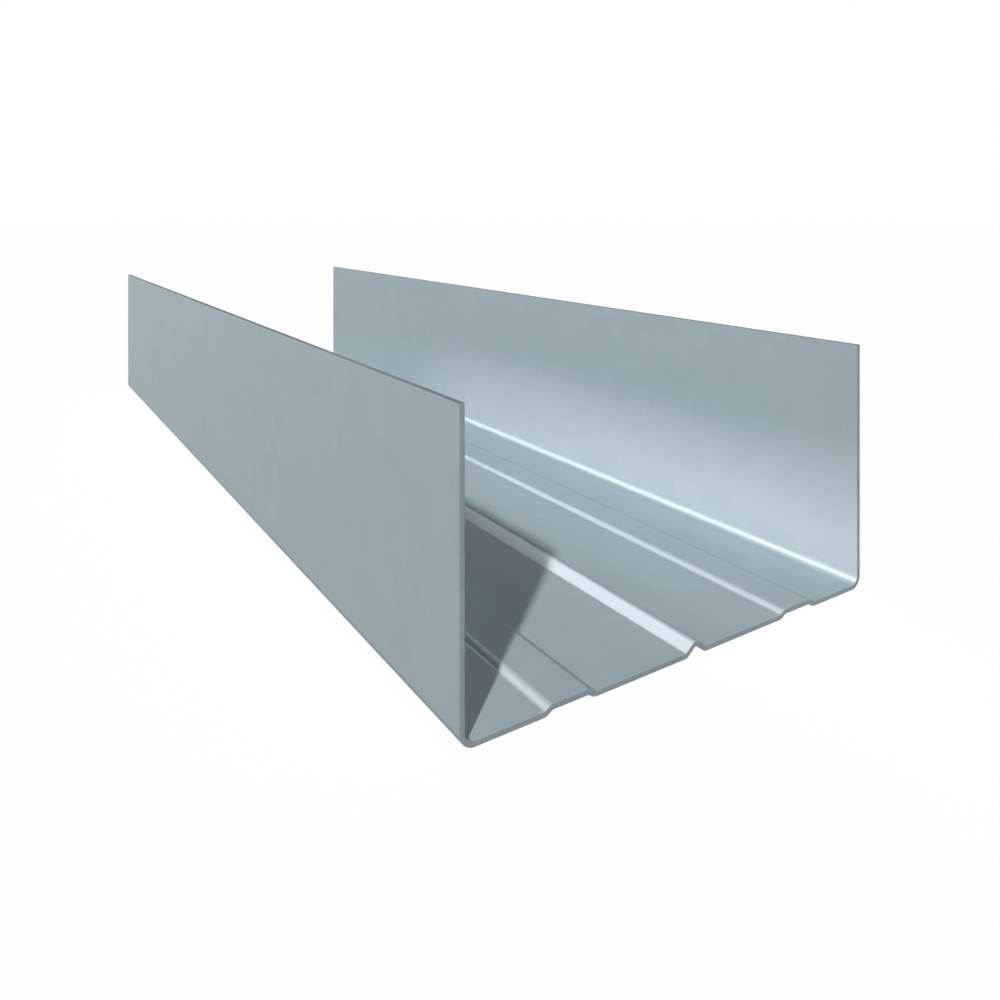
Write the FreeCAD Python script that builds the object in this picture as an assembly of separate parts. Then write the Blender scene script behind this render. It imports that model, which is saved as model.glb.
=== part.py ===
"""Drywall track: the U-shaped runner that holds the studs of a partition wall.

One strip of zinc-coated steel is roll-formed into a web with two flanges. The web is stiffened
along its length by two flat beads and, on its centre line, by one narrow V rib. All three are
pressed up into the channel, so the web rests on the four flat strips between them.

Lengths are in millimetres. X runs across the web, Y along the track and Z up. The origin is the
middle of the web's underside.
"""

import FreeCAD
import Part
import math
import os

# Driving dimensions of the channel
WEB_WIDTH = 75.0             # outside of one flange to the outside of the other
FLANGE_HEIGHT = 40.0         # underside of the web to the free edge of a flange
TRACK_LENGTH = 240.0         # from one sheared end to the other
SHEET = 0.7                  # thickness of the strip
FLANGE_BEND_RADIUS = 1.4     # inside of the bends between web and flanges

# Driving dimensions of the stiffeners, measured on the underside of the web
BEAD_SPACING = 43.4          # middle of one flat bead to the middle of the other
BEAD_WIDTH = 6.5             # hollow of a bead, half way up its sides
BEAD_RISE = 0.6              # flat top of a bead above the web
BEAD_SLOPE = 34.0            # sides of a bead, in degrees from the web
RIB_RISE = 1.25              # rounded crest of the V rib above the web
RIB_SLOPE = 38.0             # sides of the V rib, in degrees from the web
STIFFENER_BEND_RADIUS = 0.3  # inside of every bend in the beads and the rib


def section_point(x, z):
    """A point of the section, in the plane of the front end."""
    return FreeCAD.Vector(x, -TRACK_LENGTH / 2, z)


def bead_bends(middle):
    """Underside corners and radii of one flat bead, from left to right."""
    foot_radius = STIFFENER_BEND_RADIUS + SHEET
    side_run = BEAD_RISE / math.tan(math.radians(BEAD_SLOPE))
    foot = (BEAD_WIDTH + side_run) / 2
    crest = (BEAD_WIDTH - side_run) / 2
    return [
        (section_point(middle - foot, 0), foot_radius),
        (section_point(middle - crest, BEAD_RISE), STIFFENER_BEND_RADIUS),
        (section_point(middle + crest, BEAD_RISE), STIFFENER_BEND_RADIUS),
        (section_point(middle + foot, 0), foot_radius),
    ]


def rib_bends():
    """Underside corners and radii of the V rib, from left to right.

    The corner at the crest is higher than the rib by what its rounding takes off.
    """
    slope = math.radians(RIB_SLOPE)
    foot_radius = STIFFENER_BEND_RADIUS + SHEET
    crest = RIB_RISE + STIFFENER_BEND_RADIUS * (1 / math.cos(slope) - 1)
    foot = crest / math.tan(slope)
    return [
        (section_point(-foot, 0), foot_radius),
        (section_point(0, crest), STIFFENER_BEND_RADIUS),
        (section_point(foot, 0), foot_radius),
    ]


def underside():
    """Outer face of the strip in section: straight runs joined by tangent arcs.

    It goes down the left flange, along under the web and up the right flange.
    """
    flange_face = WEB_WIDTH / 2
    flange_bend = FLANGE_BEND_RADIUS + SHEET
    start = section_point(-flange_face, FLANGE_HEIGHT)
    end = section_point(flange_face, FLANGE_HEIGHT)
    bends = [
        (section_point(-flange_face, 0), flange_bend),
        *bead_bends(-BEAD_SPACING / 2),
        *rib_bends(),
        *bead_bends(BEAD_SPACING / 2),
        (section_point(flange_face, 0), flange_bend),
    ]
    corners = [start, *[corner for corner, _ in bends], end]
    edges = []
    reached = start
    for before, (corner, radius), after in zip(corners, bends, corners[2:]):
        arriving = (corner - before).normalize()
        leaving = (after - corner).normalize()
        half_turn = arriving.getAngle(leaving) / 2
        tangent_run = radius * math.tan(half_turn)
        to_centre = (leaving - arriving).normalize()
        arc_start = corner - arriving * tangent_run
        arc_middle = corner + to_centre * radius * (1 / math.cos(half_turn) - 1)
        arc_end = corner + leaving * tangent_run
        edges.append(Part.makeLine(reached, arc_start))
        edges.append(Part.Arc(arc_start, arc_middle, arc_end).toShape())
        reached = arc_end
    edges.append(Part.makeLine(reached, end))
    return Part.Wire(edges)


def track():
    """The bent strip, the same thickness all along, cut square at both ends."""
    rounded_joins = 0
    fill_between = True
    open_outline = True
    section = underside().makeOffset2D(SHEET, rounded_joins, fill_between, open_outline)
    return section.extrude(FreeCAD.Vector(0, TRACK_LENGTH, 0))


def main():
    os.makedirs("parts", exist_ok=True)
    solid = track()
    box = solid.BoundBox
    print(f"track: valid {solid.isValid()}, {len(solid.Solids)} solid, {solid.Volume:.1f} mm3")
    print(f"size {box.XLength:.3f} x {box.YLength:.3f} x {box.ZLength:.3f} mm")
    solid.exportStep("parts/track.step")


main()
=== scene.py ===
"""A drywall track of zinc-coated steel, laid on a white floor.

The file is laid out as an add-on. Property groups hold the sizes, the finish and the stage, one
operator rolls the track, one sets the stage, and a panel in the sidebar lists them. Lengths are in
metres: X runs across the web, Y along the track and Z up, from the middle of the web's underside.
"""

import math

import bmesh
import bpy
from bpy.props import FloatProperty, FloatVectorProperty, PointerProperty
from mathutils import Matrix, Vector


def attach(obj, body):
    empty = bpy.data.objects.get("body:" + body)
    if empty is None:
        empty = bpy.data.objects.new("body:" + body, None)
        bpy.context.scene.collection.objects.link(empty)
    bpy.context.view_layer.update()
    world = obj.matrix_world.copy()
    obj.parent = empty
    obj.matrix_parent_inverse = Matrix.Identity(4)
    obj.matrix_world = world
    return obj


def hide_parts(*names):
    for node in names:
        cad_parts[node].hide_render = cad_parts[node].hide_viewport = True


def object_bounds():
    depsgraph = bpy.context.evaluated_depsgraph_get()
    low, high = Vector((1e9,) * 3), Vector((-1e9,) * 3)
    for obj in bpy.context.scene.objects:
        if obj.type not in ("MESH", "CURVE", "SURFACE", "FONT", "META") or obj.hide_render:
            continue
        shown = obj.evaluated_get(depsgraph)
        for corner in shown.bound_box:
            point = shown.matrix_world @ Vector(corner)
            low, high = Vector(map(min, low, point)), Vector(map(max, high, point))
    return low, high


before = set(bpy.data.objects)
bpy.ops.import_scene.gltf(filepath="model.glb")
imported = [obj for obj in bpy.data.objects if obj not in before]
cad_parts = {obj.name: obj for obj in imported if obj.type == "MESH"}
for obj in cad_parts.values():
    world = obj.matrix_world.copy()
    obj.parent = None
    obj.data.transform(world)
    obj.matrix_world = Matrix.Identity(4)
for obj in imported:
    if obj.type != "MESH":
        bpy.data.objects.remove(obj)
CAD_LOW, CAD_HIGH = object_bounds()

bl_info = {
    "name": "Drywall track",
    "version": (1, 0, 0),
    "blender": (4, 5, 0),
    "location": "View3D > Sidebar > Track",
    "description": "Rolls a drywall track from zinc-coated strip and sets a plain studio round it",
    "category": "Add Mesh",
}

STRIP_MAP = "strip"
ACROSS = "across"
MM = 0.001
WELD = 0.001 * MM
WHITE = (1.0, 1.0, 1.0)

# Materials of the strip, which faces and edges are cut, how those are rounded, and where shading breaks
COAT, SHEARED_END, SLIT_EDGE = range(3)
FACES_ONE_WAY = 0.9
CUT_ANGLE = math.radians(60)
EDGE_SEGMENTS = 2
SHARP_ANGLE = math.radians(20)

# Grain of the coat: rolling lines along the strip, clouds and spangles, and how they are mixed
LINES_PER_METRE = (9.0, 2600.0, 1.0)
LINE_DETAIL = 3.0
CLOUDS_PER_METRE = 130.0
CLOUD_DETAIL = 4.0
CLOUD_SHARE = 0.5
SPANGLES_PER_METRE = 240.0
SPANGLE_SHARE = 0.25
MIDDLE_OF_GRAIN = 0.5
ROUGHNESS_SPREAD = 0.12

# Sockets of a mix node that is set to colours
MIX_FROM_COLOUR = 6
MIX_TO_COLOUR = 7
MIX_COLOUR = 2

# The photo's frame, focal length and centre of view
PHOTO_WIDTH_PX = 1000
FOCAL_LENGTH_PX = 837.4
VIEW_CENTRE_PX = (545.28, 212.27)
SENSOR_WIDTH_MM = 36.0
CAMERA_NEAR = 5 * MM

# The floor's place under the track and its corners, and the width of the strip light
FLOOR_GAP = 0.02 * MM
FLOOR_SEGMENTS = 64
FILL_WIDTH = 2 * MM


def length(name, description, default):
    """A property that holds a length in metres."""
    return FloatProperty(name=name, description=description, default=default, min=0.0, unit="LENGTH")


def angle(name, description, degrees):
    """A property that holds an angle."""
    return FloatProperty(name=name, description=description, default=math.radians(degrees), unit="ROTATION")


def share(name, description, default):
    """A property that holds a share between none and all."""
    return FloatProperty(
        name=name, description=description, default=default, min=0.0, max=1.0, subtype="FACTOR"
    )


def strength(name, description, default):
    """A property that holds how strong a light is."""
    return FloatProperty(name=name, description=description, default=default, min=0.0)


def colour(name, description, default):
    """A property that holds a linear colour."""
    return FloatVectorProperty(
        name=name, description=description, default=default, size=3, min=0.0, max=1.0, subtype="COLOR"
    )


def place_in_frame(name, description, millimetres):
    """A property that holds a point in the track's frame."""
    return FloatVectorProperty(
        name=name,
        description=description,
        default=[part * MM for part in millimetres],
        size=3,
        subtype="TRANSLATION",
        unit="LENGTH",
    )


class TrackSizes(bpy.types.PropertyGroup):
    """Sizes of the rolled strip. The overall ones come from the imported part."""

    web_width: length("Web width", "Outside of one flange to that of the other", CAD_HIGH.x - CAD_LOW.x)
    flange_height: length("Flange height", "Underside of the web to a free edge", CAD_HIGH.z - CAD_LOW.z)
    track_length: length("Length", "From one sheared end to the other", CAD_HIGH.y - CAD_LOW.y)
    sheet: length("Sheet", "Thickness of the strip", 0.7 * MM)
    flange_bend: length("Flange bend", "Inside radius between web and flanges", 1.4 * MM)
    bead_spacing: length("Bead spacing", "Middle of one flat bead to the middle of the other", 43.4 * MM)
    bead_width: length("Bead width", "Hollow of a bead, half way up its sides", 6.5 * MM)
    bead_rise: length("Bead rise", "Flat top of a bead above the web", 0.6 * MM)
    bead_slope: angle("Bead slope", "Sides of a bead, from the web", 34.0)
    bead_bend: length("Bead bend", "Inside radius of the bends in the beads", 0.8 * MM)
    rib_rise: length("Rib rise", "Rounded crest of the V rib above the web", 1.25 * MM)
    rib_slope: angle("Rib slope", "Sides of the V rib, from the web", 38.0)
    rib_bend: length("Rib bend", "Inside radius of the bends in the rib", 0.3 * MM)
    facet: angle("Facet", "Turn of the strip from one edge of a bend to the next", 5.0)
    flat_margin: length("Flat margin", "Strip beside a bend that carries the change of shading", 0.1 * MM)
    edge_round: length("Edge rounding", "Rounding of the cut edges", 0.05 * MM)


class ZincFinish(bpy.types.PropertyGroup):
    """Colours and grain of the zinc coat and of the cut edges."""

    coat: colour("Coat", "Bright grains of the zinc coat", (0.370, 0.457, 0.496))
    coat_dull: colour("Dull coat", "Dull grains of the zinc coat", (0.322, 0.399, 0.436))
    end: colour("Sheared end", "Zinc smeared over the cut at the ends", (0.26, 0.32, 0.35))
    end_dull: colour("Dull end", "Shear marks at the ends", (0.20, 0.245, 0.27))
    slit: colour("Slit edge", "Bare steel of the flanges' free edges", (0.17, 0.205, 0.22))
    slit_dull: colour("Dull slit edge", "Tarnish on the free edges", (0.12, 0.145, 0.155))
    metal: share("Metal", "How much of the coat reflects as bare metal", 0.22)
    rim: colour("Rim", "Reflection along a grazing view", (0.1, 0.1, 0.1))
    roughness: share("Roughness", "Roughness of the coat", 0.69)
    streak: share("Streak", "How far the rolling stretches reflections along the strip", 0.80)
    relief: length("Relief", "Depth of the rolling lines", 0.002 * MM)


class StageSettings(bpy.types.PropertyGroup):
    """Floor, light and camera."""

    floor: colour("Floor", "Floor paint, as it lights the track", (0.1, 0.1, 0.1))
    floor_radius: length("Floor radius", "Middle of the floor to its edge", 5.0)
    floor_white: share("Floor white", "How far the floor is lifted to white where it is seen", 0.9)
    key_strength: strength("Key strength", "Key light, from the front left", 3.5)
    glint_strength: strength("Glint strength", "Key light's own image, which only gloss shows", 12.5)
    glint_colour: colour("Glint colour", "Colour of the key light's image", (1.0, 0.82, 0.76))
    fill_strength: strength("Fill strength", "Long strip light low inside the left flange", 0.0143)
    fill_colour: colour("Fill colour", "Colour of the strip light", (1.0, 0.82, 0.84))
    fill_length: length("Fill length", "Length of the strip light", 410 * MM)
    fill_spread: angle("Fill spread", "How far the strip light spreads", 30.0)
    fill_place: place_in_frame("Fill place", "Middle of the strip light", (-35.0, -165.0, 8.0))
    fill_aim: place_in_frame("Fill aim", "Point that the strip light faces", (36.8, -165.0, 6.5))
    box_strength: strength("Softbox strength", "Softbox close over the front, which only gloss shows", 0.09)
    box_size: length("Softbox size", "Side of the square softbox", 40 * MM)
    box_place: place_in_frame("Softbox place", "Middle of the softbox", (-20.0, -60.0, 90.0))
    box_aim: place_in_frame("Softbox aim", "Point that the softbox faces", (18.0, -112.0, 0.0))
    key_turn: angle("Key turn", "Key light's place, from the track's front to its left", 46.2)
    key_height: angle("Key height", "Key light's height over the floor", 35.1)
    key_size: angle("Key size", "How wide the key light looks from the track", 2.2)
    walls: strength("Walls", "Light from the walls", 0.27)
    ceiling: strength("Ceiling", "Light from the ceiling", 0.27)
    wall_height: angle("Wall height", "Where the white walls begin to turn into the ceiling", 8.0)
    ceiling_height: angle("Ceiling height", "Where the walls have turned into the ceiling", 13.0)
    camera_place: place_in_frame("Camera place", "Camera's place", (-83.76, -204.31, 61.84))
    camera_turn: angle("Camera turn", "Level camera's turn from the track's length to its right", 34.60)


class Section:
    """Outer face of the strip in section, drawn as a chain of edges from the left flange's free edge."""

    def __init__(self, mesh, start, heading, facet, margin):
        self.mesh = mesh
        self.tip = mesh.verts.new(start)
        self.heading = Vector(heading)
        self.facet = facet
        self.margin = margin

    def step(self, distance):
        """One straight edge."""
        self.tip = bmesh.ops.extrude_vert_indiv(self.mesh, verts=[self.tip])["verts"][0]
        self.tip.co += self.heading * distance

    def run(self, distance):
        """A flat stretch, with a narrow margin at each end that takes up the turn of the shading."""
        self.step(self.margin)
        self.step(distance - 2 * self.margin)
        self.step(self.margin)

    def bend(self, radius, turn):
        """An arc. A positive turn is towards the inside of the channel."""
        to_front = Vector((0, -1, 0))
        to_centre = Matrix.Rotation(math.copysign(math.pi / 2, turn), 3, to_front) @ self.heading
        last = bmesh.ops.spin(
            self.mesh,
            geom=[self.tip],
            cent=self.tip.co + to_centre * radius,
            axis=to_front,
            angle=turn,
            steps=math.ceil(abs(turn) / self.facet),
        )["geom_last"]
        self.tip = [part for part in last if isinstance(part, bmesh.types.BMVert)][0]
        self.heading = Matrix.Rotation(turn, 3, to_front) @ self.heading


def draw_half_section(mesh, sizes):
    """The left half of the section: flange, web, flat bead and the left side of the V rib."""
    flange_bend = sizes.flange_bend + sizes.sheet
    bead_crest = sizes.bead_bend
    bead_foot = sizes.bead_bend + sizes.sheet
    rib_foot = sizes.rib_bend + sizes.sheet
    bead_run = sizes.bead_rise / math.tan(sizes.bead_slope)
    bead_tangent = math.tan(sizes.bead_slope / 2)
    bead_middle = -sizes.bead_spacing / 2
    bead_reach = (sizes.bead_width + bead_run) / 2 + bead_foot * bead_tangent
    bead_side = sizes.bead_rise / math.sin(sizes.bead_slope) - (bead_foot + bead_crest) * bead_tangent
    bead_top = sizes.bead_width - bead_run - 2 * bead_crest * bead_tangent
    rib_crest = sizes.rib_rise + sizes.rib_bend * (1 / math.cos(sizes.rib_slope) - 1)
    rib_tangent = rib_foot * math.tan(sizes.rib_slope / 2)
    rib_reach = rib_crest / math.tan(sizes.rib_slope) + rib_tangent
    rib_top = sizes.rib_bend * math.tan(sizes.rib_slope)
    rib_side = rib_crest / math.sin(sizes.rib_slope) - rib_tangent - rib_top
    web_edge = -sizes.web_width / 2

    start = (web_edge, -sizes.track_length / 2, sizes.flange_height)
    section = Section(mesh, start, (0, 0, -1), sizes.facet, sizes.flat_margin)
    section.run(sizes.flange_height - flange_bend)
    section.bend(flange_bend, math.pi / 2)
    section.run(bead_middle - bead_reach - (web_edge + flange_bend))
    section.bend(bead_foot, sizes.bead_slope)
    section.run(bead_side)
    section.bend(bead_crest, -sizes.bead_slope)
    section.run(bead_top)
    section.bend(bead_crest, -sizes.bead_slope)
    section.run(bead_side)
    section.bend(bead_foot, sizes.bead_slope)
    section.run(-rib_reach - (bead_middle + bead_reach))
    section.bend(rib_foot, sizes.rib_slope)
    section.run(rib_side)
    section.bend(sizes.rib_bend, -sizes.rib_slope)


def measure_across(mesh, layer):
    """Notes at each point how far across the flat strip it lies, and returns the half width."""
    mesh.verts.ensure_lookup_table()
    across = 0.0
    for before, point in zip(mesh.verts[:-1], mesh.verts[1:]):
        across += (point.co - before.co).length
        point[layer] = across
    return across


def map_flat_strip(mesh, layer):
    """Unrolls the faces on the flat strip: along the track, and across it."""
    flat = mesh.loops.layers.uv.new(STRIP_MAP)
    for face in mesh.faces:
        for corner in face.loops:
            corner[flat].uv = (corner.vert.co.y, corner.vert[layer])


def roll_strip(sizes):
    """Mesh of the bent strip, closed, with its cut faces in materials of their own."""
    mesh = bmesh.new()
    draw_half_section(mesh, sizes)
    layer = mesh.verts.layers.float.new(ACROSS)
    half_width = measure_across(mesh, layer)
    section = mesh.verts[:] + mesh.edges[:]
    bmesh.ops.mirror(mesh, geom=section, matrix=Matrix.Identity(4), axis="X", merge_dist=WELD)
    for point in mesh.verts:
        if point.co.x > 0:
            point[layer] = 2 * half_width - point[layer]
    drawn = bmesh.ops.extrude_edge_only(mesh, edges=mesh.edges[:])["geom"]
    far_end = [part for part in drawn if isinstance(part, bmesh.types.BMVert)]
    bmesh.ops.translate(mesh, verts=far_end, vec=(0, sizes.track_length, 0))
    bmesh.ops.recalc_face_normals(mesh, faces=mesh.faces[:])
    widest = max(mesh.faces, key=lambda face: -face.calc_center_median().x)
    if widest.normal.x > 0:
        bmesh.ops.reverse_faces(mesh, faces=mesh.faces[:])
    map_flat_strip(mesh, layer)
    bmesh.ops.solidify(mesh, geom=mesh.faces[:], thickness=sizes.sheet)
    mesh.normal_update()
    round_cut_edges(mesh, sizes)
    for face in mesh.faces:
        face.smooth = True
    return mesh


def finish_of(face, sizes):
    """Which material a face has: the coat, the cut at an end or the slit edge of a flange."""
    if abs(face.normal.y) > FACES_ONE_WAY:
        return SHEARED_END
    if face.normal.z > FACES_ONE_WAY and face.calc_center_median().z > sizes.flange_height / 2:
        return SLIT_EDGE
    return COAT


def round_cut_edges(mesh, sizes):
    """Gives the cut faces their materials, and takes the sharpness off their edges."""
    for face in mesh.faces:
        face.material_index = finish_of(face, sizes)
    sharp = [edge for edge in mesh.edges if edge.calc_face_angle() > CUT_ANGLE]
    rounded = bmesh.ops.bevel(
        mesh,
        geom=sharp,
        offset=sizes.edge_round,
        segments=EDGE_SEGMENTS,
        profile=0.5,
        affect="EDGES",
        material=-1,
    )["faces"]
    for face in rounded:
        at_end = abs(face.calc_center_median().y) > sizes.track_length / 2 - sizes.edge_round
        face.material_index = SHEARED_END if at_end else SLIT_EDGE


def place(tree, kind, inputs=(), **settings):
    """A node with its settings. Inputs are pairs of a socket and its value or the socket that feeds it."""
    node = tree.nodes.new(kind)
    for name, setting in settings.items():
        setattr(node, name, setting)
    for name, given in inputs:
        if isinstance(given, bpy.types.NodeSocket):
            tree.links.new(given, node.inputs[name])
        else:
            node.inputs[name].default_value = given
    return node


def opaque(rgb):
    """A colour property as a socket takes it."""
    return (*rgb, 1.0)


def rolled_grain():
    """Node group: grain of rolled zinc on the flat strip, as a colour, a roughness and a height."""
    tree = bpy.data.node_groups.new("rolled_grain", "ShaderNodeTree")
    for name, kind in (
        ("Strip", "NodeSocketVector"),
        ("Bright", "NodeSocketColor"),
        ("Dull", "NodeSocketColor"),
        ("Roughness", "NodeSocketFloat"),
        ("Spread", "NodeSocketFloat"),
    ):
        tree.interface.new_socket(name, in_out="INPUT", socket_type=kind)
    for name, kind in (
        ("Colour", "NodeSocketColor"),
        ("Roughness", "NodeSocketFloat"),
        ("Height", "NodeSocketFloat"),
    ):
        tree.interface.new_socket(name, in_out="OUTPUT", socket_type=kind)
    given = tree.nodes.new("NodeGroupInput").outputs
    strip = given["Strip"]

    drawn_out = place(tree, "ShaderNodeMapping", [("Vector", strip), ("Scale", LINES_PER_METRE)])
    lines = place(
        tree,
        "ShaderNodeTexNoise",
        [("Vector", drawn_out.outputs[0]), ("Scale", 1.0), ("Detail", LINE_DETAIL)],
    )
    clouds = place(
        tree,
        "ShaderNodeTexNoise",
        [("Vector", strip), ("Scale", CLOUDS_PER_METRE), ("Detail", CLOUD_DETAIL)],
    )
    spangle = place(tree, "ShaderNodeTexVoronoi", [("Vector", strip), ("Scale", SPANGLES_PER_METRE)])
    flakes = place(tree, "ShaderNodeSeparateColor", [("Color", spangle.outputs["Color"])])
    streaked = place(
        tree,
        "ShaderNodeMix",
        [("Factor", CLOUD_SHARE), ("A", lines.outputs["Fac"]), ("B", clouds.outputs["Fac"])],
    )
    grain = place(
        tree,
        "ShaderNodeMix",
        [("Factor", SPANGLE_SHARE), ("A", streaked.outputs["Result"]), ("B", flakes.outputs["Red"])],
    )
    value = grain.outputs["Result"]
    tone = place(
        tree,
        "ShaderNodeMix",
        [("Factor", value), (MIX_FROM_COLOUR, given["Dull"]), (MIX_TO_COLOUR, given["Bright"])],
        data_type="RGBA",
    )
    centred = place(tree, "ShaderNodeMath", [(0, value), (1, MIDDLE_OF_GRAIN)], operation="SUBTRACT")
    rough = place(
        tree,
        "ShaderNodeMath",
        [(0, centred.outputs[0]), (1, given["Spread"]), (2, given["Roughness"])],
        operation="MULTIPLY_ADD",
    )
    place(
        tree,
        "NodeGroupOutput",
        [
            ("Colour", tone.outputs[MIX_COLOUR]),
            ("Roughness", rough.outputs[0]),
            ("Height", lines.outputs["Fac"]),
        ],
    )
    return tree


def zinc_material(name, finish, grain, bright, dull):
    """Zinc in the given colours, with its grain."""
    material = bpy.data.materials.new(name)
    material.use_nodes = True
    tree = material.node_tree
    flat = place(tree, "ShaderNodeUVMap", uv_map=STRIP_MAP)
    pattern = place(
        tree,
        "ShaderNodeGroup",
        [
            ("Strip", flat.outputs["UV"]),
            ("Bright", opaque(bright)),
            ("Dull", opaque(dull)),
            ("Roughness", finish.roughness),
            ("Spread", ROUGHNESS_SPREAD),
        ],
        node_tree=grain,
    )
    relief = place(
        tree,
        "ShaderNodeBump",
        [("Height", pattern.outputs["Height"]), ("Distance", finish.relief)],
    )
    shader = tree.nodes["Principled BSDF"]
    shader.distribution = "GGX"
    shader.inputs["Metallic"].default_value = finish.metal
    shader.inputs["Specular IOR Level"].default_value = 0.0
    shader.inputs["Specular Tint"].default_value = opaque(finish.rim)
    tree.links.new(pattern.outputs["Colour"], shader.inputs["Base Color"])
    tree.links.new(pattern.outputs["Roughness"], shader.inputs["Roughness"])
    tree.links.new(relief.outputs["Normal"], shader.inputs["Normal"])
    return material


def coat_material(finish, grain):
    """The rolled coat, whose reflections are streaked along the strip."""
    material = zinc_material("zinc_coat", finish, grain, finish.coat, finish.coat_dull)
    tree = material.node_tree
    shader = tree.nodes["Principled BSDF"]
    along = place(tree, "ShaderNodeTangent", direction_type="UV_MAP", uv_map=STRIP_MAP)
    tree.links.new(along.outputs["Tangent"], shader.inputs["Tangent"])
    shader.inputs["Anisotropic"].default_value = finish.streak
    return material


class TRACK_OT_roll(bpy.types.Operator):
    """Rolls the track and gives it its zinc coat"""

    bl_idname = "drywall_track.roll"
    bl_label = "Roll track"

    def execute(self, context):
        sizes = context.scene.track_sizes
        finish = context.scene.zinc_finish
        mesh = roll_strip(sizes)
        data = bpy.data.meshes.new("track_strip")
        mesh.to_mesh(data)
        mesh.free()
        data.set_sharp_from_angle(angle=SHARP_ANGLE)
        grain = rolled_grain()
        data.materials.append(coat_material(finish, grain))
        data.materials.append(zinc_material("sheared_end", finish, grain, finish.end, finish.end_dull))
        data.materials.append(zinc_material("slit_edge", finish, grain, finish.slit, finish.slit_dull))
        strip = bpy.data.objects.new("track_strip", data)
        context.scene.collection.objects.link(strip)
        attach(strip, "root")
        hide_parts("track")
        return {"FINISHED"}


def seen(tree):
    """Two sockets: one for rays from the camera, and one for those and rays from metal or glass."""
    path = tree.nodes.new("ShaderNodeLightPath").outputs
    mirrored = place(
        tree,
        "ShaderNodeMath",
        [(0, path["Is Glossy Ray"]), (1, path["Is Transmission Ray"])],
        operation="MAXIMUM",
    )
    either = place(
        tree,
        "ShaderNodeMath",
        [(0, path["Is Camera Ray"]), (1, mirrored.outputs[0])],
        operation="MAXIMUM",
    )
    return path["Is Camera Ray"], either.outputs[0]


def floor_material(stage):
    """Grey floor that is lifted to white where it is seen, and still takes the track's shadow."""
    material = bpy.data.materials.new("floor_paint")
    material.use_nodes = True
    tree = material.node_tree
    tree.nodes.clear()
    paint = place(tree, "ShaderNodeBsdfDiffuse", [("Color", opaque(stage.floor))])
    shaded = place(tree, "ShaderNodeBsdfDiffuse", [("Color", opaque(WHITE))])
    white = place(tree, "ShaderNodeEmission", [("Color", opaque(WHITE))])
    lifted = place(
        tree, "ShaderNodeMixShader", [(0, stage.floor_white), (1, shaded.outputs[0]), (2, white.outputs[0])]
    )
    _, in_sight = seen(tree)
    surface = place(
        tree, "ShaderNodeMixShader", [(0, in_sight), (1, paint.outputs[0]), (2, lifted.outputs[0])]
    )
    place(tree, "ShaderNodeOutputMaterial", [("Surface", surface.outputs[0])])
    return material


def lay_floor(scene, stage):
    """Round floor, a hair below the track so that the two don't share a face."""
    mesh = bmesh.new()
    bmesh.ops.create_circle(mesh, cap_ends=True, radius=stage.floor_radius, segments=FLOOR_SEGMENTS)
    bmesh.ops.translate(mesh, verts=mesh.verts[:], vec=(0, 0, -FLOOR_GAP))
    data = bpy.data.meshes.new("studio_floor")
    mesh.to_mesh(data)
    mesh.free()
    data.materials.append(floor_material(stage))
    floor = bpy.data.objects.new("studio_floor", data)
    scene.collection.objects.link(floor)


def light_room(scene, stage):
    """Walls that turn into a dimmer ceiling. Where they are seen or mirrored, the walls are white."""
    world = bpy.data.worlds.new("studio_room")
    scene.world = world
    world.use_nodes = True
    tree = world.node_tree
    tree.nodes.clear()
    way = tree.nodes.new("ShaderNodeTexCoord").outputs["Generated"]
    height = place(tree, "ShaderNodeSeparateXYZ", [("Vector", way)])
    by_camera, in_sight = seen(tree)
    walls = place(tree, "ShaderNodeMix", [("Factor", in_sight), ("A", stage.walls), ("B", 1.0)])
    level = place(
        tree,
        "ShaderNodeMapRange",
        [
            ("Value", height.outputs["Z"]),
            ("From Min", math.sin(stage.wall_height)),
            ("From Max", math.sin(stage.ceiling_height)),
            ("To Min", walls.outputs["Result"]),
            ("To Max", stage.ceiling),
        ],
        interpolation_type="SMOOTHSTEP",
    )
    glow = place(
        tree,
        "ShaderNodeMix",
        [("Factor", by_camera), ("A", level.outputs["Result"]), ("B", 1.0)],
    )
    room = place(
        tree,
        "ShaderNodeBackground",
        [("Color", opaque(WHITE)), ("Strength", glow.outputs["Result"])],
    )
    place(tree, "ShaderNodeOutputWorld", [("Surface", room.outputs[0])])


def hang_key(scene, stage, name, energy):
    """A lamp in the key's place, which casts the hard shadow on the web."""
    data = bpy.data.lights.new(name, "SUN")
    data.energy = energy
    data.angle = stage.key_size
    key = bpy.data.objects.new(name, data)
    key.rotation_euler = (math.pi / 2 - stage.key_height, 0, -stage.key_turn)
    scene.collection.objects.link(key)
    return key


def point_lamp(lamp, at, towards):
    """Hangs a lamp in its place and turns it to a point."""
    lamp.location = at
    lamp.rotation_euler = (Vector(towards) - Vector(at)).to_track_quat("-Z", "Y").to_euler()


def hang_fill(scene, stage):
    """A strip light that shines low across the web, on the foot of the far flange."""
    data = bpy.data.lights.new("fill_light", "AREA")
    data.energy = stage.fill_strength
    data.color = stage.fill_colour
    data.shape = "ELLIPSE"
    data.size = stage.fill_length
    data.size_y = FILL_WIDTH
    data.spread = stage.fill_spread
    fill = bpy.data.objects.new("fill_light", data)
    fill.visible_camera = False
    fill.visible_glossy = False
    point_lamp(fill, stage.fill_place, stage.fill_aim)
    scene.collection.objects.link(fill)


def hang_softbox(scene, stage):
    """A softbox close over the front, whose image lies on the sides of the beads and the rib."""
    data = bpy.data.lights.new("softbox", "AREA")
    data.energy = stage.box_strength
    data.size = stage.box_size
    box = bpy.data.objects.new("softbox", data)
    box.visible_camera = False
    box.visible_diffuse = False
    point_lamp(box, stage.box_place, stage.box_aim)
    scene.collection.objects.link(box)


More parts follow.
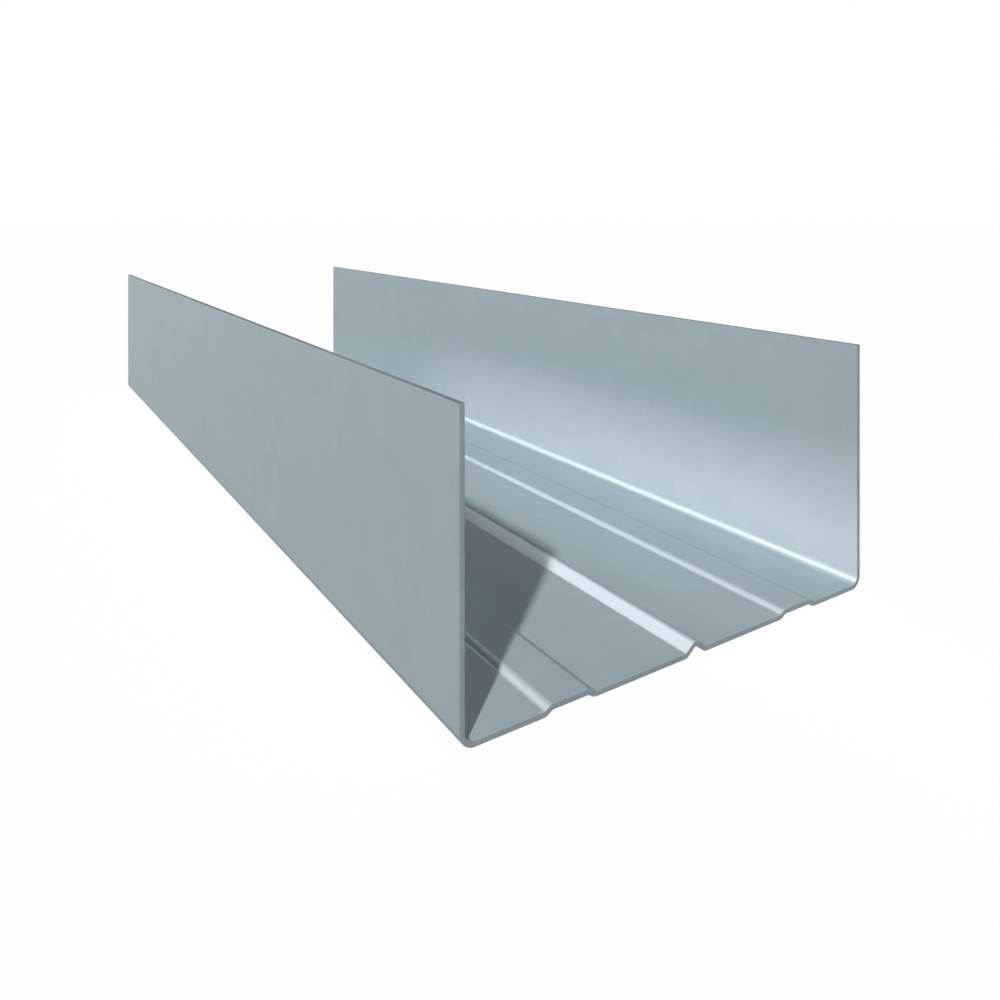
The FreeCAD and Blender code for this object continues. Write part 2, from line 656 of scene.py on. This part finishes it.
def stand_camera(scene, stage):
    """Level camera that keeps uprights upright. Its shift puts the photo's own centre of view in place."""
    data = bpy.data.cameras.new("photo_camera")
    data.sensor_width = SENSOR_WIDTH_MM
    data.lens = FOCAL_LENGTH_PX / PHOTO_WIDTH_PX * SENSOR_WIDTH_MM
    data.shift_x = 0.5 - VIEW_CENTRE_PX[0] / PHOTO_WIDTH_PX
    data.shift_y = VIEW_CENTRE_PX[1] / PHOTO_WIDTH_PX - 0.5
    data.clip_start = CAMERA_NEAR
    camera = bpy.data.objects.new("photo_camera", data)
    camera.location = stage.camera_place
    camera.rotation_euler = (math.pi / 2, 0, -stage.camera_turn)
    scene.collection.objects.link(camera)
    scene.camera = camera


class TRACK_OT_stage(bpy.types.Operator):
    """Lays the floor, lights the room and stands the camera"""

    bl_idname = "drywall_track.stage"
    bl_label = "Set stage"

    def execute(self, context):
        stage = context.scene.track_stage
        lay_floor(context.scene, stage)
        light_room(context.scene, stage)
        hang_key(context.scene, stage, "key_light", stage.key_strength)
        glint = hang_key(context.scene, stage, "key_glint", stage.glint_strength)
        glint.data.color = stage.glint_colour
        glint.visible_diffuse = False
        hang_fill(context.scene, stage)
        hang_softbox(context.scene, stage)
        stand_camera(context.scene, stage)
        context.scene.view_settings.view_transform = "Standard"
        return {"FINISHED"}


class TRACK_PT_sidebar(bpy.types.Panel):
    """Lists the sizes, the finish, the stage and their operators"""

    bl_idname = "TRACK_PT_sidebar"
    bl_label = "Drywall track"
    bl_space_type = "VIEW_3D"
    bl_region_type = "UI"
    bl_category = "Track"

    def draw(self, context):
        scene = context.scene
        for title, group, operators in (
            ("Track", scene.track_sizes, ()),
            ("Zinc", scene.zinc_finish, (TRACK_OT_roll,)),
            ("Stage", scene.track_stage, (TRACK_OT_stage,)),
        ):
            box = self.layout.box()
            box.label(text=title)
            for name in group.__annotations__:
                box.prop(group, name)
            for operator in operators:
                box.operator(operator.bl_idname)


CLASSES = (TrackSizes, ZincFinish, StageSettings, TRACK_OT_roll, TRACK_OT_stage, TRACK_PT_sidebar)


def register():
    for cls in CLASSES:
        bpy.utils.register_class(cls)
    bpy.types.Scene.track_sizes = PointerProperty(type=TrackSizes)
    bpy.types.Scene.zinc_finish = PointerProperty(type=ZincFinish)
    bpy.types.Scene.track_stage = PointerProperty(type=StageSettings)


def unregister():
    del bpy.types.Scene.track_stage
    del bpy.types.Scene.zinc_finish
    del bpy.types.Scene.track_sizes
    for cls in reversed(CLASSES):
        bpy.utils.unregister_class(cls)


def main():
    register()
    bpy.ops.drywall_track.roll()
    bpy.ops.drywall_track.stage()


if __name__ == "__main__":
    main()
